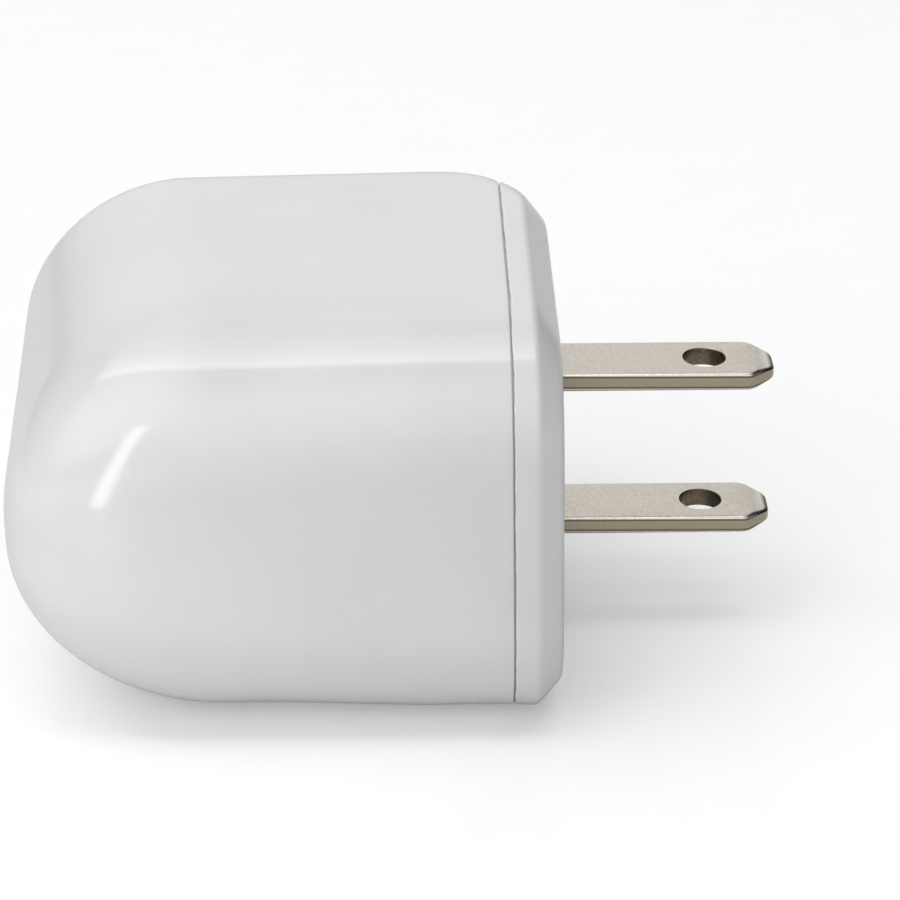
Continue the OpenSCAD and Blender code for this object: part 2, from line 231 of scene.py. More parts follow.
def outline(section):
    """Points (y, z) round a cross-section: the hull of four corner circles, always with the same count."""
    far, near, _, _, r_far, r_near = section
    far_y, far_z, near_y, near_z, tilt = corner_circles(section)
    top_far = (far_y + r_far * math.sin(tilt), far_z + r_far * math.cos(tilt))
    top_near = (near_y + r_near * math.sin(tilt), near_z + r_near * math.cos(tilt))
    low_far, low_near = (top_far[0], -top_far[1]), (top_near[0], -top_near[1])
    return (line(top_near, top_far, LINE_STEPS)
            + arc(far_y, far_z, r_far, tilt, RIGHT_ANGLE)
            + line((far, far_z), (far, -far_z), SIDE_STEPS)
            + arc(far_y, far_z, r_far, RIGHT_ANGLE, tilt, -1)
            + line(low_far, low_near, LINE_STEPS)
            + arc(near_y, near_z, r_near, tilt, -RIGHT_ANGLE, -1)
            + line((-near, -near_z), (-near, near_z), SIDE_STEPS)
            + arc(near_y, near_z, r_near, -RIGHT_ANGLE, tilt))


def spread(points, count):
    """The closed polyline through points, as count points with even spacing."""
    lengths = [0.0]
    n = len(points)
    for i in range(n):
        a, b = points[i], points[(i + 1) % n]
        lengths.append(lengths[-1] + math.hypot(b[0] - a[0], b[1] - a[1]))
    total, out, k = lengths[-1], [], 0
    for i in range(count):
        want = total * i / count
        while lengths[k + 1] < want:
            k += 1
        a, b = points[k], points[(k + 1) % n]
        t = (want - lengths[k]) / max(1e-12, lengths[k + 1] - lengths[k])
        out.append((mix(a[0], b[0], t), mix(a[1], b[1], t)))
    return out


def slot_edge(half_y, half_z, radius, dy, dz):
    """Where a ray from the middle meets the rounded slot's edge."""
    low, high = 0.0, half_y + half_z
    for _ in range(SLOT_HALVINGS):
        middle = (low + high) / 2
        qy, qz = abs(dy * middle) - half_y + radius, abs(dz * middle) - half_z + radius
        outside = math.hypot(max(qy, 0), max(qz, 0)) + min(max(qy, qz), 0) - radius
        if outside > 0:
            high = middle
        else:
            low = middle
    return dy * low, dz * low


def slot_outline(half_y, half_z, radius, ring):
    """Points (y, z) round a rounded slot, each in the same direction from the middle as a ring's point."""
    points = []
    for y, z in ring:
        length = math.hypot(y, z)
        points.append(slot_edge(half_y, half_z, radius, y / length, z / length))
    return points


def rounded_rectangle(half_y, half_z, radius, count, turns=8):
    """Points (y, z) evenly spaced round a rounded rectangle, from the top's middle towards +Y."""
    corners = [(1, 1, 90), (1, -1, 0), (-1, -1, -90), (-1, 1, 180)]
    dense = [(0.0, half_z)]
    for sy, sz, start in corners:
        for i in range(turns + 1):
            a = math.radians(start - 90 * i / turns)
            y = sy * (half_y - radius) + radius * math.cos(a)
            z = sz * (half_z - radius) + radius * math.sin(a)
            dense.append((y, z))
    return spread(dense, count)


# ---- mesh helpers ------------------------------------------------------------------------------------------


def add_ring(mesh, x, points):
    return [mesh.verts.new((x, y, z)) for y, z in points]


def add_end_ring(mesh, points, inset=0.0):
    """A ring that lies on the rounded USB end's surface, or on its inner skin at an inset."""
    return [mesh.verts.new((end_surface(y, z, inset), y, z)) for y, z in points]


def join_rings(mesh, a, b):
    n = len(a)
    for i in range(n):
        mesh.faces.new((a[i], a[(i + 1) % n], b[(i + 1) % n], b[i]))


def join_in_turn(mesh, rings):
    for a, b in zip(rings, rings[1:]):
        join_rings(mesh, a, b)


def fill_between(mesh, loops):
    """Fills the flat region inside the first loop and outside the others with triangles."""
    edges = []
    for loop in loops:
        n = len(loop)
        for i in range(n):
            pair = (loop[i], loop[(i + 1) % n])
            edges.append(mesh.edges.get(pair) or mesh.edges.new(pair))
    bmesh.ops.triangle_fill(mesh, use_beauty=True, use_dissolve=False, edges=edges)


def new_object(name, mesh, material):
    """An object in the scene from a bmesh, which is used up."""
    data = bpy.data.meshes.new(name)
    mesh.to_mesh(data)
    mesh.free()
    made = bpy.data.objects.new(name, data)
    bpy.context.scene.collection.objects.link(made)
    made.data.materials.append(material)
    return made


def finish_mesh(mesh, name, material, replaced, sharp=math.radians(40), body=BODY):
    """Makes a piece from a bmesh, with outward normals and smooth shading, riding on the body."""
    bmesh.ops.recalc_face_normals(mesh, faces=mesh.faces)
    for face in mesh.faces:
        face.smooth = True
    for edge in mesh.edges:
        if len(edge.link_faces) == 2 and edge.calc_face_angle(0.0) > sharp:
            edge.smooth = False
    piece = new_object(name, mesh, material)
    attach(piece, body)
    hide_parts(*replaced)
    return piece


# ---- materials ---------------------------------------------------------------------------------------------


class Surface:
    """A node material being built up: a Principled shader and the textures that feed it."""

    def __init__(self, name, roughness, metallic=0.0, ior=1.5):
        self.material = bpy.data.materials.new(name)
        self.material.use_nodes = True
        self.nodes = self.material.node_tree.nodes
        self.links = self.material.node_tree.links
        self.shader = self.nodes["Principled BSDF"]
        self.set("Roughness", roughness)
        self.set("Metallic", metallic)
        self.set("IOR", ior)
        coordinates = self.nodes.new("ShaderNodeTexCoord")
        self.place = coordinates.outputs["Object"]
        self.height = None

    def set(self, socket, value):
        self.shader.inputs[socket].default_value = value

    def feed(self, socket, value):
        self.links.new(value, self.shader.inputs[socket])

    def stretched(self, scale):
        mapping = self.nodes.new("ShaderNodeMapping")
        mapping.inputs["Scale"].default_value = scale
        self.links.new(self.place, mapping.inputs["Vector"])
        return mapping.outputs["Vector"]

    def noise(self, size, detail=3.0, roughness=0.5, stretch=None):
        """Noise whose features are about size metres across, stretched by stretch along X, Y and Z."""
        texture = self.nodes.new("ShaderNodeTexNoise")
        texture.inputs["Scale"].default_value = 1 / size
        texture.inputs["Detail"].default_value = detail
        texture.inputs["Roughness"].default_value = roughness
        source = self.stretched(stretch) if stretch else self.place
        self.links.new(source, texture.inputs["Vector"])
        return texture.outputs["Fac"]

    def spread(self, value, low, high, start=0.3, end=0.7):
        """Maps a texture value between start and end to a number between low and high."""
        node = self.nodes.new("ShaderNodeMapRange")
        node.inputs["From Min"].default_value = start
        node.inputs["From Max"].default_value = end
        node.inputs["To Min"].default_value = low
        node.inputs["To Max"].default_value = high
        self.links.new(value, node.inputs["Value"])
        return node.outputs["Result"]

    def ramp(self, value, stops):
        """Maps a texture value to colours. stops is a list of (place, colour)."""
        node = self.nodes.new("ShaderNodeValToRGB")
        band = node.color_ramp
        while len(band.elements) < len(stops):
            band.elements.new(0.5)
        for element, (place, colour) in zip(band.elements, stops):
            element.position = place
            element.color = (*colour, 1.0)
        self.links.new(value, node.inputs["Fac"])
        return node.outputs["Color"]

    def maths(self, operation, *values):
        """The result of a maths node; each value is a socket or a number."""
        node = self.nodes.new("ShaderNodeMath")
        node.operation = operation
        for socket, value in zip(node.inputs, values):
            if isinstance(value, (int, float)):
                socket.default_value = value
            else:
                self.links.new(value, socket)
        return node.outputs["Value"]

    def blend(self, share, low, high):
        """Goes from the colour low to the colour high as share goes from 0 to 1."""
        node = self.nodes.new("ShaderNodeMix")
        node.data_type = "RGBA"
        colours = [socket for socket in node.inputs if socket.type == "RGBA"]
        self.links.new(share, node.inputs[0])
        self.links.new(low, colours[0])
        self.links.new(high, colours[1])
        return next(socket for socket in node.outputs if socket.type == "RGBA")

    def bump(self, value, depth):
        """Adds relief of depth metres from a texture value, on top of any before it."""
        node = self.nodes.new("ShaderNodeBump")
        node.inputs["Strength"].default_value = 1.0
        node.inputs["Distance"].default_value = depth
        self.links.new(value, node.inputs["Height"])
        if self.height is not None:
            self.links.new(self.height, node.inputs["Normal"])
        self.height = node.outputs["Normal"]
        self.links.new(self.height, self.shader.inputs["Normal"])


def white_plastic():
    """Polished white moulded plastic, with a faint mottle, fine orange peel and uneven gloss."""
    s = Surface("case_white", roughness=0.12, ior=1.5)
    mottle = s.noise(9 * MM, detail=4)
    s.feed("Base Color", s.ramp(mottle, [(0.3, (0.617, 0.620, 0.632)), (0.7, (0.642, 0.645, 0.656))]))
    s.feed("Roughness", s.spread(s.noise(4 * MM, detail=6, roughness=0.6), low=0.10, high=0.17))
    s.bump(s.noise(0.9 * MM, detail=2), depth=0.0022 * MM)
    s.bump(s.noise(0.12 * MM, detail=2), depth=0.0006 * MM)
    return s.material


# the blades' colours, as ramps: the plated face and the hole's painted shade over a speckle, and the edge
# from the middle of the thickness (0) to the face (1): sides darkened by painted shade, then a painted dark
# line and a painted highlight along the rounded edge
BLADE_FACE = [(0.3, (0.47, 0.43, 0.365)), (0.52, (0.57, 0.53, 0.465)), (0.75, (0.64, 0.605, 0.545))]
BLADE_EDGE_SHADE_AND_HIGHLIGHT = [
    (0.0, (0.38, 0.33, 0.25)), (0.42, (0.40, 0.35, 0.265)), (0.56, (0.15, 0.12, 0.08)),
    (0.66, (0.17, 0.14, 0.10)), (0.76, (0.78, 0.74, 0.67)),
]
BLADE_HOLE_SHADE = [(0.3, (0.10, 0.078, 0.052)), (0.7, (0.22, 0.18, 0.13))]
# the shares of the half thickness between which the edge's painted shade and highlight give way to the face,
# and how far outside the hole the hole's painted shade reaches
EDGE_SHADE_TO_FACE = 0.74, 0.92
HOLE_SHADE_TO_FACE = 0.02 * MM, 0.09 * MM


def nickel_plate():
    """Warm grey nickel plate: a speckled plated face, sides darkened by painted shade with a painted dark
    line and a painted highlight along their rounded edges, and painted shade in the punched hole.
    """
    s = Surface("blade_nickel", roughness=0.3, metallic=1.0)
    speckle = s.noise(0.3 * MM, detail=8, roughness=0.75)
    face = s.ramp(speckle, BLADE_FACE)
    # how far a point is from the middle of the blade's thickness, as a share of half the thickness
    split = s.nodes.new("ShaderNodeSeparateXYZ")
    s.links.new(s.place, split.inputs["Vector"])
    x, y, z = (split.outputs[axis] for axis in "XYZ")
    level = s.maths("ABSOLUTE", s.maths("ADD", z, s.maths("MULTIPLY", x, BLADE_DROOP)))
    share = s.maths("DIVIDE", s.maths("ABSOLUTE", s.maths("SUBTRACT", level, BLADE_MIDDLE)), BLADE_HALF_THICK)
    # painted shade on the blade's sides, with a painted dark line and a painted highlight along the rounded
    # edge
    edge_shaded = s.blend(s.spread(share, 0, 1, *EDGE_SHADE_TO_FACE), s.ramp(share, BLADE_EDGE_SHADE_AND_HIGHLIGHT), face)
    # painted shade on the punched hole's wall and just round its mouth
    from_hole = s.maths("SUBTRACT", x, HOLE_X)
    squares = s.maths("ADD", s.maths("MULTIPLY", from_hole, from_hole), s.maths("MULTIPLY", y, y))
    outside = s.spread(s.maths("SQRT", squares), 0, 1, *(HOLE_RADIUS + edge for edge in HOLE_SHADE_TO_FACE))
    s.feed("Base Color", s.blend(outside, s.ramp(speckle, BLADE_HOLE_SHADE), edge_shaded))
    s.feed("Roughness", s.spread(s.noise(0.25 * MM, detail=6, roughness=0.7), low=0.22, high=0.42))
    s.bump(s.noise(0.16 * MM, detail=4, stretch=(0.12, 1.0, 1.0)), depth=0.004 * MM)
    s.bump(s.noise(0.08 * MM, detail=2), depth=0.0015 * MM)
    return s.material


def plated_steel():
    """Bright tin-plated sheet steel with a soft spangle."""
    s = Surface("plated_steel", roughness=0.25, metallic=1.0)
    tone = s.noise(1.2 * MM, detail=5)
    s.feed("Base Color", s.ramp(tone, [(0.3, (0.66, 0.66, 0.67)), (0.7, (0.78, 0.78, 0.79))]))
    s.feed("Roughness", s.spread(s.noise(0.4 * MM, detail=5), low=0.18, high=0.34))
    s.bump(s.noise(0.2 * MM, detail=3, stretch=(0.2, 1.0, 1.0)), depth=0.002 * MM)
    return s.material


def contact_gold():
    """Thin gold over nickel, slightly worn to a paler tone in places."""
    s = Surface("contact_gold", roughness=0.22, metallic=1.0)
    wear = s.noise(0.6 * MM, detail=5)
    s.feed("Base Color", s.ramp(wear, [(0.35, (0.86, 0.62, 0.27)), (0.72, (0.88, 0.72, 0.46))]))
    s.feed("Roughness", s.spread(s.noise(0.2 * MM, detail=4), low=0.15, high=0.33))
    s.bump(s.noise(0.1 * MM, detail=3, stretch=(0.2, 1.0, 1.0)), depth=0.001 * MM)
    return s.material


def moulded(name, dark, light, rough=(0.4, 0.55)):
    """A moulded or fired material with a fine grain, between two tones and two roughnesses."""
    s = Surface(name, roughness=rough[0])
    s.feed("Base Color", s.ramp(s.noise(2.5 * MM, detail=5), [(0.3, dark), (0.7, light)]))
    s.feed("Roughness", s.spread(s.noise(0.5 * MM, detail=4), *rough))
    s.bump(s.noise(0.12 * MM, detail=3), depth=0.003 * MM)
    return s.material


def enamelled_copper():
    """Layers of fine enamelled wire: rows of turns across the coil, slightly changing in tone."""
    s = Surface("enamelled_copper", roughness=0.3, metallic=0.6)
    wave = s.nodes.new("ShaderNodeTexWave")
    wave.bands_direction = "Y"
    wave.inputs["Scale"].default_value = 900
    wave.inputs["Distortion"].default_value = 0.6
    s.links.new(s.place, wave.inputs["Vector"])
    turns = wave.outputs["Fac"]
    s.feed("Base Color", s.ramp(turns, [(0.1, (0.24, 0.08, 0.02)), (0.8, (0.62, 0.27, 0.09))]))
    s.feed("Roughness", s.spread(s.noise(0.5 * MM, detail=4), low=0.22, high=0.4))
    s.bump(turns, depth=0.05 * MM)
    return s.material


TABLE_GLOW = 0.255


def table_white():
    """The pale table: a smooth white sheet with the faintest tooth.

    Its glow, which only the camera sees, keeps the shadows on it pale and adds no light to the charger.
    """
    s = Surface("table_white", roughness=0.6)
    tooth = s.noise(6 * MM, detail=4)
    s.feed("Base Color", s.ramp(tooth, [(0.3, (0.71, 0.71, 0.71)), (0.7, (0.72, 0.72, 0.72))]))
    s.set("Emission Color", (1.0, 1.0, 1.0, 1.0))
    seen = s.nodes.new("ShaderNodeLightPath").outputs["Is Camera Ray"]
    s.feed("Emission Strength", s.maths("MULTIPLY", seen, TABLE_GLOW))
    s.bump(s.noise(0.4 * MM, detail=3), depth=0.004 * MM)
    return s.material


# ---- the case ----------------------------------------------------------------------------------------------

# the USB slot: room round the metal shell, corner radius, rounding of its mouth, and how far back from the
# USB face the last whole cross-section lies
SLOT_PLAY = 0.15 * MM
SLOT_RADIUS = 0.55 * MM
SLOT_LIP = 0.25 * MM
FACE_REACH = 2.2 * MM

# rings along each stretch of the housing, from the seam out to the slot and back along the inner skin
SEAM_EDGE = 0.12 * MM
LEAN_RINGS = 14
SIDE_RINGS = 10
END_RINGS = 40
FACE_RINGS = 20
SKIN_FACE_RINGS = 6
SKIN_RINGS = 12
SKIN_LEAN_X = -5.5 * MM


def front_housing(material):
    """The shell: its seam edge, sides, rounded USB end with the slot, and inner skin."""
    mesh = bmesh.new()
    rings = []
    for inset, back in quarter_round(SEAM_EDGE):
        rings.append(add_ring(mesh, SEAM_X - back, outline(moved_in(section_at(SEAM_X), inset))))
    round_start = FRONT_X + SIDE_NEAR[0]
    stretches = ((SEAM_X - SEAM_EDGE, LEAN_START_X, LEAN_RINGS), (LEAN_START_X, round_start, SIDE_RINGS))
    for start, end, count in stretches:
        for i in range(1, count + 1):
            x = mix(start, end, i / count)
            rings.append(add_ring(mesh, x, outline(section_at(x))))
    # the rounded end, down to a ring that still goes round the slot
    whole = math.asin((SIDE_NEAR[0] - FACE_REACH) / SIDE_NEAR[0])
    for i in range(1, END_RINGS + 1):
        x = round_start - SIDE_NEAR[0] * math.sin(whole * i / END_RINGS)
        rings.append(add_ring(mesh, x, outline(section_at(x))))
    last = outline(section_at(FRONT_X + FACE_REACH))
    half_y, half_z = SHELL_HIGH.y + SLOT_PLAY, SHELL_HIGH.z + SLOT_PLAY
    slot_out = slot_outline(half_y + SLOT_LIP, half_z + SLOT_LIP, SLOT_RADIUS + SLOT_LIP, last)
    for i in range(1, FACE_RINGS + 1):
        rings.append(add_end_ring(mesh, mix_points(last, slot_out, i / FACE_RINGS)))
    reach = [v.co.x for v in rings[-1]]
    for grow, drop in quarter_round(SLOT_LIP)[1:]:
        points = slot_outline(half_y + grow, half_z + grow, SLOT_RADIUS + grow, last)
        rings.append([mesh.verts.new((x + drop, *p)) for x, p in zip(reach, points)])
    # the slot's walls, and the inner skin back to the seam
    slot_in = slot_outline(half_y, half_z, SLOT_RADIUS, last)
    rings.append(add_end_ring(mesh, slot_in, WALL))
    last_in = outline(section_at(FRONT_X + WALL + FACE_REACH, WALL))
    for i in range(1, SKIN_FACE_RINGS + 1):
        rings.append(add_end_ring(mesh, mix_points(slot_in, last_in, i / SKIN_FACE_RINGS), WALL))
    skin_start = FRONT_X + WALL + FACE_REACH
    skin = [mix(skin_start, round_start, smooth(i / SKIN_RINGS)) for i in range(1, SKIN_RINGS + 1)]
    for x in (*skin, LEAN_START_X, SKIN_LEAN_X, SEAM_X):
        rings.append(add_ring(mesh, x, outline(section_at(x, WALL))))
    join_in_turn(mesh, rings + rings[:1])
    return finish_mesh(mesh, "front_housing_shell", material, ["front_housing"])


# the seam's raggedness: its mean width as a share of the gap, the size of its slowest waves, and the waves as
# (how many times finer, share of the gap)
SEAM_SHARE = 0.46
SEAM_WAVE_SIZE = 6 * MM
SEAM_WAVES = ((1, 0.3), (4.3, 0.3), (11, 0.22))


def seam_gap(y, z):
    """The seam's width at (y, z): a little uneven, as where two mouldings were welded together."""
    place = Vector((y, z, 0)) / SEAM_WAVE_SIZE
    return SEAM_GAP * (SEAM_SHARE + sum(share * noise.noise(place * finer) for finer, share in SEAM_WAVES))


def bevel_section(x, share, inset):
    """The cover's cross-section at x, at a share of the way down the bevel from the rim to the wall face."""
    rim = section_at(x)
    wall_face = (rim[0] - BEVEL_INSETS[0], rim[1] - BEVEL_INSETS[1], rim[2] - BEVEL_INSETS[2],
                 rim[3] - BEVEL_INSETS[2], *WALL_RADII)
    return moved_in([mix(a, b, share) for a, b in zip(rim, wall_face)], inset)


RIM_SOFTNESS = 0.4 * MM
WALL_SOFTNESS = 0.55 * MM
BEVEL_STEPS = 8


def bevel_path():
    """(x, share of the bevel, further inset) from the rim to the wall face, with both corners soft."""
    slope = math.hypot(-BEVEL_X, BEVEL_INSETS[0])
    a, b = RIM_SOFTNESS / slope, WALL_SOFTNESS / slope
    corners = (
        ((BEVEL_X - RIM_SOFTNESS, 0, 0), (BEVEL_X, 0, 0), (BEVEL_X * (1 - a), a, 0)),
        ((BEVEL_X * b, 1 - b, 0), (0, 1, 0), (0, 1, WALL_SOFTNESS)),
    )
    return [bend(*corner, i / BEVEL_STEPS) for corner in corners for i in range(BEVEL_STEPS + 1)]


# the lip inside the housing: how far inside the housing's wall its two faces lie, and where it starts, from
# the CAD cover's inner end
LIP_OUT = 0.4 * MM
LIP_IN = 1.6 * MM
LIP_START = 2.4 * MM
COVER_FILLET = 0.14 * MM
RIM_RINGS = 6
# each blade's slot in the wall face: room round the blade, width of its chamfer, corner radii and points
BLADE_PLAY = 0.04 * MM
BLADE_MOUTH = 0.12 * MM
BLADE_SLOT_RADIUS = 0.35 * MM
BLADE_MOUTH_RADIUS = 0.45 * MM
BLADE_SLOT_POINTS = 48


def rear_cover(material):
    """The cover: its lip inside the housing, the seam's floor, the rim, the bevel and the wall face."""
    mesh = bmesh.new()
    at_seam = section_at(SEAM_X)
    lip_out, lip_in = moved_in(at_seam, WALL + LIP_OUT), moved_in(at_seam, WALL + LIP_IN)
    groove = moved_in(at_seam, GROOVE_DEPTH)
    lip_x = COVER_LOW.x + LIP_START
    floor_x = SEAM_X + SEAM_GAP
    stations = ((lip_x, lip_in), (lip_x, lip_out), (SEAM_X, lip_out), (SEAM_X, groove), (floor_x, groove))
    rings = [add_ring(mesh, x, outline(section)) for x, section in stations]
    for inset, drop in quarter_round(COVER_FILLET):
        points = outline(moved_in(section_at(floor_x), inset))
        rings.append([mesh.verts.new((SEAM_X + seam_gap(y, z) + drop, y, z)) for y, z in points])
    bevel = bevel_path()
    for i in range(RIM_RINGS):
        x = mix(SEAM_X + 2 * SEAM_GAP, bevel[0][0], i / RIM_RINGS)
        rings.append(add_ring(mesh, x, outline(section_at(x))))
    for x, share, inset in bevel:
        rings.append(add_ring(mesh, x, outline(bevel_section(x, share, inset))))
    join_in_turn(mesh, rings)
    # the wall face with a slot for each blade, and the inner face behind it
    half_y, half_z = BLADE_HALF_WIDTH + BLADE_PLAY, BLADE_HALF_THICK + BLADE_PLAY
    slot = rounded_rectangle(half_y, half_z, BLADE_SLOT_RADIUS, BLADE_SLOT_POINTS)
    mouth_line = rounded_rectangle(
        half_y + BLADE_MOUTH, half_z + BLADE_MOUTH, BLADE_MOUTH_RADIUS, BLADE_SLOT_POINTS)
    mouths, inner_slots = [], []
    for side in (1, -1):
        mouth = add_ring(mesh, 0.0, [(y, z + side * BLADE_MIDDLE) for y, z in mouth_line])
        wall = [(y, z + side * BLADE_MIDDLE) for y, z in slot]
        neck = add_ring(mesh, -BLADE_MOUTH, wall)
        inner = add_ring(mesh, -WALL, wall)
        join_in_turn(mesh, [mouth, neck, inner])
        mouths.append(mouth)
        inner_slots.append(inner)
    fill_between(mesh, [rings[-1]] + mouths)
    inner_edge = add_ring(mesh, -WALL, outline(lip_in))
    join_rings(mesh, rings[0], inner_edge)
    fill_between(mesh, [inner_edge] + inner_slots)
    sharp = math.radians(50)
    return finish_mesh(mesh, "rear_cover_shell", material, ["rear_cover"], sharp)


# ---- the blades --------------------------------------------------------------------------------------------

# the tip's taper: its length and its half width at the end; then its coined part's length and how much
# thinner that ends, as a share
BLADE_TIP = 1.9 * MM
BLADE_TIP_HALF = 1.3 * MM
BLADE_COIN = 1.4 * MM
COIN_THINNING = 0.38
# the narrower tail inside the case: its half width, and where it ends, from the CAD cover's inner end
TAIL_HALF = 2 * MM
TAIL_NECK = 4 * MM
# how much is cut off the outline's corners, the share of an inset by which the tip gets narrower, and the
# points round a cut corner
TAIL_CUT, SHOULDER_CUT, TIP_CUT = 0.1 * MM, 0.4 * MM, 0.55 * MM
TIP_INSET_SHARE = 0.4
CUT_POINTS = 5
BLADE_EDGE_RADIUS = 0.3 * MM
BLADE_EDGE_STEPS = 9
HOLE_CHAMFER = 0.07 * MM
HOLE_POINTS = 64


def blade_outline(inset):
    """Points (x, y) round the blade seen from its wide side, moved in by inset, with rounded corners."""
    half = BLADE_HALF_WIDTH - inset
    tail_half = TAIL_HALF - inset
    tip_half = BLADE_TIP_HALF - inset * TIP_INSET_SHARE
    slope = math.atan2(BLADE_HALF_WIDTH - BLADE_TIP_HALF, BLADE_TIP)
    tail, neck = BLADE_LOW.x + inset, COVER_LOW.x + TAIL_NECK
    shoulder, tip = BLADE_HIGH.x - BLADE_TIP - inset * math.tan(slope / 2), BLADE_HIGH.x - inset
    one_side = [(tail, tail_half, TAIL_CUT), (neck, tail_half, TAIL_CUT), (neck, half, TAIL_CUT),
                (shoulder, half, SHOULDER_CUT), (tip, tip_half, TIP_CUT)]
    corners = [(x, -y, cut) for x, y, cut in one_side] + one_side[::-1]
    points = []
    n = len(corners)
    for i in range(n):
        before, here, after = (Vector(corners[j % n][:2]) for j in (i - 1, i, i + 1))
        cut = corners[i][2]
        start = here + (before - here).normalized() * cut
        end = here + (after - here).normalized() * cut
        points += [bend(start, here, end, k / (CUT_POINTS - 1)) for k in range(CUT_POINTS)]
    return points


def blade(name, replaced, side, material):
    """One flat blade: rounded edges, a coined tip and a hole with a small chamfer."""
    mesh = bmesh.new()
    half_t = BLADE_HALF_THICK
    profile = [(inset, half_t - drop) for inset, drop in quarter_round(BLADE_EDGE_RADIUS, BLADE_EDGE_STEPS)]
    profile += [(inset, -z) for inset, z in reversed(profile)]
    loops = [[mesh.verts.new((x, y, z)) for x, y in blade_outline(inset)] for inset, z in profile]
    join_in_turn(mesh, loops)
    hole = []
    inner_z = half_t - HOLE_CHAMFER
    angles = [2 * math.pi * i / HOLE_POINTS for i in range(HOLE_POINTS)]
    for radius, z in ((HOLE_RADIUS + HOLE_CHAMFER, half_t), (HOLE_RADIUS, inner_z),
                      (HOLE_RADIUS, -inner_z), (HOLE_RADIUS + HOLE_CHAMFER, -half_t)):
        ring = [(HOLE_X + radius * math.cos(a), radius * math.sin(a), z) for a in angles]
        hole.append([mesh.verts.new(place) for place in ring])
    join_in_turn(mesh, hole)
    fill_between(mesh, [loops[0], hole[0]])
    fill_between(mesh, [loops[-1], hole[-1]])
    # the coined tip thins from here, so the faces are cut first
    coin_x = BLADE_HIGH.x - BLADE_COIN
    bmesh.ops.bisect_plane(mesh, geom=mesh.verts[:] + mesh.edges[:] + mesh.faces[:], dist=1e-7,
                           plane_co=(coin_x, 0, 0), plane_no=(1, 0, 0))
    for vert in mesh.verts:
        coined = max(0.0, (vert.co.x - coin_x) / BLADE_COIN)
        vert.co.z *= 1 - COIN_THINNING * coined
        vert.co.z += side * BLADE_MIDDLE - BLADE_DROOP * max(0.0, vert.co.x)
    return finish_mesh(mesh, name, material, [replaced], math.radians(13))


# ---- the USB port ------------------------------------------------------------------------------------------

SHELL_METAL = 0.3 * MM
SHELL_RADII = 0.6 * MM, 0.4 * MM
SHELL_POINTS = 120
# stations along the shell, as (distance from its mouth, drop of the outside, opening of the inside)
SHELL_MOUTH = ((0.8 * MM, 0, 0), (0.2 * MM, 0, 0.048 * MM), (0, 0.1 * MM, 0.12 * MM))


def usb_shell(material):
    """The folded metal shell: rounded corners and a slightly flared mouth."""
    mesh = bmesh.new()
    stations = [(SHELL_HIGH.x, 0, 0)]
    stations += [(SHELL_LOW.x + back, drop, opening) for back, drop, opening in SHELL_MOUTH]
    rings = []
    for x, drop, _ in stations:
        points = rounded_rectangle(SHELL_HIGH.y - drop, SHELL_HIGH.z - drop, SHELL_RADII[0], SHELL_POINTS)
        rings.append(add_ring(mesh, x, points))
    for x, _, opening in reversed(stations):
        inset = SHELL_METAL - opening
        points = rounded_rectangle(SHELL_HIGH.y - inset, SHELL_HIGH.z - inset, SHELL_RADII[1], SHELL_POINTS)
        rings.append(add_ring(mesh, x, points))
    join_in_turn(mesh, rings + rings[:1])
    return finish_mesh(mesh, "usb_metal_shell", material, ["usb_shell"])


# ---- stage, light and camera -------------------------------------------------------------------------------

TABLE_HALF = 1.5
TABLE_GAP = 0.02 * MM


def stage(material):
    """A pale table that the charger lies on."""
    mesh = bmesh.new()
    half, top = TABLE_HALF, -HALF_Z - TABLE_GAP
    corners = ((-half, -half), (half, -half), (half, half), (-half, half))
    mesh.faces.new([mesh.verts.new((x, y, top)) for x, y in corners])
    floor = new_object("table", mesh, material)


def softbox(name, place, target, size, radiance, turn=0.0):
    """A soft light as bright as radiance times white, facing the target and turned about its own axis."""
    data = bpy.data.lights.new(name, "AREA")
    data.shape = "RECTANGLE"
    data.size, data.size_y = size
    data.energy = math.pi * size[0] * size[1] * radiance
    light = bpy.data.objects.new(name, data)
    light.location = place
    light.rotation_mode = "QUATERNION"
    facing = (Vector(target) - Vector(place)).to_track_quat("-Z", "Y")
    light.rotation_quaternion = facing @ Quaternion((0, 0, 1), math.radians(turn))
    bpy.context.scene.collection.objects.link(light)


def toward(azimuth, elevation):
    """The direction at an azimuth (0 along +X, 90 along +Y) and an elevation in degrees."""
    a, e = math.radians(azimuth), math.radians(elevation)
    return Vector((math.cos(a) * math.cos(e), math.sin(a) * math.cos(e), math.sin(e)))


def dome_light(tree, azimuth, elevation, width, level):
    """A round soft patch of the studio's dome, fading out at width degrees from its middle."""
    nodes, links = tree.nodes, tree.links
    dot = nodes.new("ShaderNodeVectorMath")
    dot.operation = "DOT_PRODUCT"
    dot.inputs[1].default_value = toward(azimuth, elevation)
    links.new(nodes["Texture Coordinate"].outputs["Generated"], dot.inputs[0])
    fade = nodes.new("ShaderNodeMapRange")
    fade.interpolation_type = "SMOOTHSTEP"
    fade.inputs["From Min"].default_value = math.cos(math.radians(width))
    fade.inputs["To Max"].default_value = level
    links.new(dot.outputs["Value"], fade.inputs["Value"])
    return fade.outputs["Result"]


DOME = (
    # azimuth, elevation, width in degrees, level
    (90, 80, 42, 0.76),
    (218, 38, 36, 1.82),
    (240, 42, 36, 0.25),
    (-76, 26, 42, 1.24),
    (110, 42, 45, 0.34),
    (90, 15, 48, 0.86),
)

# the overhead softbox: the left end of its straight near edge, the lengths of the straight part and of the
# part that turns away on the left, and that part's turn in degrees
OVERHEAD_CORNER = (-0.15, -0.206, 0.55)
OVERHEAD_LENGTH = 0.42
OVERHEAD_LEFT_LENGTH = 0.5
OVERHEAD_TURN = -28
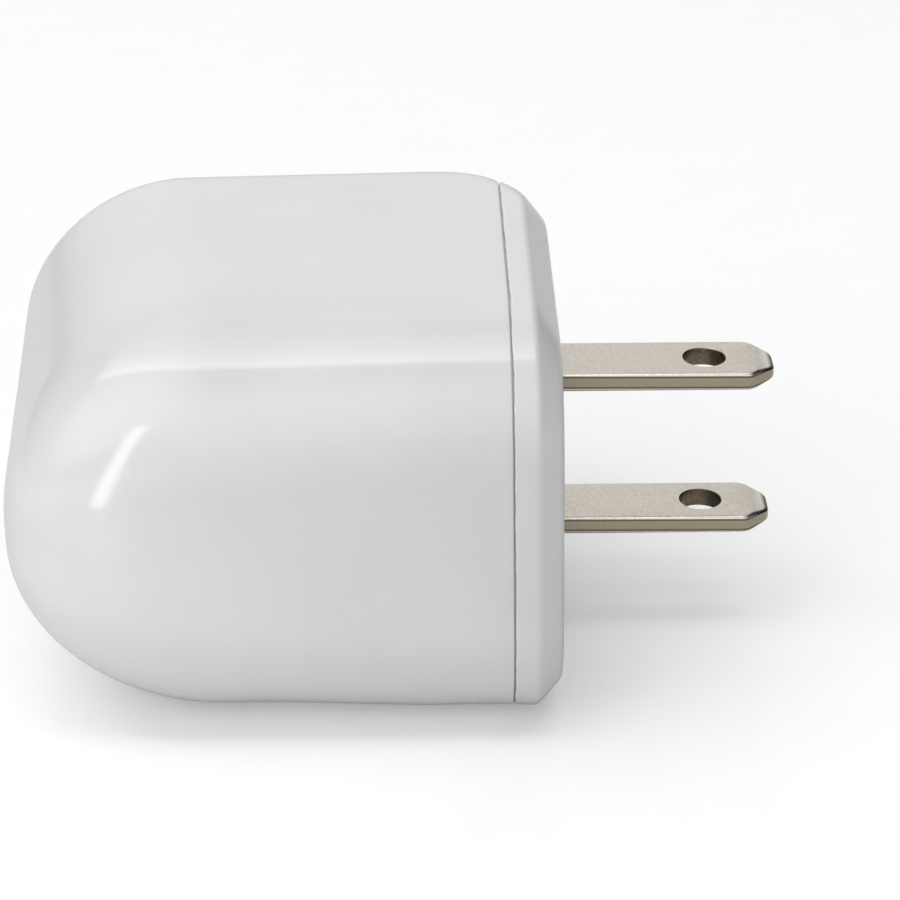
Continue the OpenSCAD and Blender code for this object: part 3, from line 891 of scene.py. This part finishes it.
# its layers share the near edge and add up, so that it fades towards the back: (name, depth, radiance)
OVERHEAD_LAYERS = (("front", 0.06, 3.6), ("middle", 0.14, 2.0), ("back", 0.26, 0.8))

# the slim strip light: its place, what it faces, its width and height, and its radiance
STRIP = (-0.0515, -0.0565, 0.009), (-0.036, -0.014, 0.009), (0.0048, 0.05), 6.5


def lighting():
    """A smooth studio dome, an overhead softbox and a slim strip light.

    The softbox's straight near edge shows along the case's top edge, and the strip shows as a crescent on the
    rounded USB end's near side.
    """
    world = bpy.data.worlds.new("studio")
    world.use_nodes = True
    tree = world.node_tree
    tree.nodes.new("ShaderNodeTexCoord").name = "Texture Coordinate"
    total = None
    for patch in DOME:
        level = dome_light(tree, *patch)
        if total is not None:
            add = tree.nodes.new("ShaderNodeMath")
            tree.links.new(total, add.inputs[0])
            tree.links.new(level, add.inputs[1])
            level = add.outputs["Value"]
        total = level
    background = tree.nodes["Background"]
    background.inputs["Color"].default_value = (1, 1, 1, 1)
    tree.links.new(total, background.inputs["Strength"])
    bpy.context.scene.world = world
    # the softbox's near edge runs straight and then turns away at its left corner
    corner = Vector(OVERHEAD_CORNER)
    down = Vector((0, 0, -1))
    turn = math.radians(OVERHEAD_TURN)
    along = Vector((-math.cos(turn), -math.sin(turn), 0))
    across = Vector((-math.sin(turn), math.cos(turn), 0))
    for name, depth, radiance in OVERHEAD_LAYERS:
        place = corner + Vector((OVERHEAD_LENGTH / 2, depth / 2, 0))
        softbox("overhead_" + name, place, place + down, (OVERHEAD_LENGTH, depth), radiance)
        place = corner + along * OVERHEAD_LEFT_LENGTH / 2 + across * depth / 2
        size = (OVERHEAD_LEFT_LENGTH, depth)
        softbox("overhead_left_" + name, place, place + down, size, radiance, OVERHEAD_TURN)
    # the slim strip stands on the table, in front of the near corner of the USB end
    softbox("strip", *STRIP)


# the camera was fitted to the photograph's outline: angles in degrees, and the focal length in pixels
CAMERA_ELEVATION, CAMERA_YAW, CAMERA_ROLL = 27.81, -0.7, -0.95
CAMERA_AIM = (-8.18 * MM, 0, -0.9 * MM)
CAMERA_DISTANCE = 237.2 * MM
FOCAL_PIXELS = 2977
IMAGE_PIXELS = 900
SENSOR_WIDTH = 36
CLIP_NEAR, CLIP_FAR = 0.01, 10


def camera():
    elevation, yaw, roll = (math.radians(angle) for angle in (CAMERA_ELEVATION, CAMERA_YAW, CAMERA_ROLL))
    level = math.cos(elevation)
    forward = Vector((-math.sin(yaw) * level, math.cos(yaw) * level, -math.sin(elevation)))
    right = Vector((math.cos(yaw), math.sin(yaw), 0))
    up = right.cross(forward)
    turned_right = right * math.cos(roll) + up * math.sin(roll)
    turned_up = up * math.cos(roll) - right * math.sin(roll)
    data = bpy.data.cameras.new("camera")
    data.sensor_width = SENSOR_WIDTH
    data.lens = FOCAL_PIXELS * SENSOR_WIDTH / IMAGE_PIXELS
    data.clip_start, data.clip_end = CLIP_NEAR, CLIP_FAR
    view = bpy.data.objects.new("camera", data)
    rotation = Matrix((turned_right, turned_up, -forward)).transposed().to_4x4()
    view.matrix_world = Matrix.Translation(Vector(CAMERA_AIM) - forward * CAMERA_DISTANCE) @ rotation
    bpy.context.scene.collection.objects.link(view)
    bpy.context.scene.camera = view


# ---- the scene ---------------------------------------------------------------------------------------------

scene = bpy.context.scene
scene.view_settings.view_transform = "Standard"

camera()
lighting()
stage(table_white())

case = white_plastic()
metal = nickel_plate()
steel = plated_steel()
gold = contact_gold()

front_housing(case)
rear_cover(case)
blade("line_blade_plated", "line_blade", 1, metal)
blade("neutral_blade_plated", "neutral_blade", -1, metal)
usb_shell(steel)

# the material of each slot of the CAD nodes, most of which lie inside the case
INSIDE = {
    "holder_plastic": moulded("holder_cream", (0.62, 0.58, 0.46), (0.70, 0.66, 0.54)),
    "contact_metal": gold,
    "board_laminate": moulded("board_green", (0.015, 0.12, 0.04), (0.03, 0.17, 0.06), rough=(0.22, 0.34)),
    "plated_steel": steel,
    "black_plastic": moulded("black_plastic", (0.012, 0.012, 0.013), (0.022, 0.022, 0.024)),
    "ferrite": moulded("ferrite", (0.035, 0.035, 0.04), (0.07, 0.07, 0.075), rough=(0.55, 0.75)),
    "copper_wire": enamelled_copper(),
    "yellow_tape": moulded("yellow_tape", (0.72, 0.48, 0.03), (0.8, 0.57, 0.06), rough=(0.2, 0.3)),
    "capacitor_sleeve": moulded(
        "capacitor_sleeve", (0.01, 0.014, 0.03), (0.02, 0.025, 0.05), rough=(0.2, 0.3)),
    "blue_coating": moulded("blue_coating", (0.02, 0.10, 0.33), (0.035, 0.14, 0.42), rough=(0.22, 0.36)),
    "green_coating": moulded("green_coating", (0.03, 0.17, 0.08), (0.05, 0.23, 0.11), rough=(0.25, 0.4)),
    "tan_ceramic": moulded("tan_ceramic", (0.33, 0.2, 0.1), (0.42, 0.27, 0.14)),
    "fish_paper": moulded("fish_paper", (0.72, 0.70, 0.62), (0.8, 0.78, 0.7), rough=(0.5, 0.7)),
    "case_plastic": case,
    "blade_metal": metal,
}
for part in frame["record"]["subparts"]:
    node = frame["nodes"][part["node"]]
    node.data.materials.clear()
    node.data.materials.append(INSIDE[part["material_slot"]])
